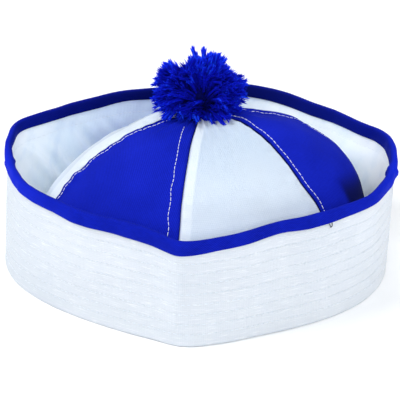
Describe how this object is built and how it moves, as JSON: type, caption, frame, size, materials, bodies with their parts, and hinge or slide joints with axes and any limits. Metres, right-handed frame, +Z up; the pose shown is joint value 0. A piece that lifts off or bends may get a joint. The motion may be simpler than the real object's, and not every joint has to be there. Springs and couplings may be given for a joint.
{
  "type": "sailor cap",
  "caption": "Cloth sailor cap with alternating white and blue crown panels, a tall turned-up white brim bound in blue tape, and a blue yarn pompom at the apex.",
  "frame": {"origin": "on the surface the cap rests on, below the middle of its outline", "axes": "+Z up through the pompom, +X along the cap's longer side to the right as seen from the front corner, -Y towards the front corner of the brim"},
  "size_m": [0.2128, 0.1931, 0.1175],
  "materials": {
    "white_cloth": "matt white cotton twill, sewn with white thread",
    "blue_cloth": "matt royal blue cotton twill",
    "blue_tape": "royal blue bias tape with a slight sheen",
    "blue_yarn": "fuzzy royal blue yarn"
  },
  "bodies": {
    "root": {"brim": "white_cloth", "brim_binding": "blue_tape", "crown_panel_front": "white_cloth", "crown_panel_right": "blue_cloth", "crown_panel_back_right": "white_cloth", "crown_panel_back": "blue_cloth", "crown_panel_left": "white_cloth", "crown_panel_front_left": "blue_cloth", "pompom": "blue_yarn"}
  },
  "joints": []
}
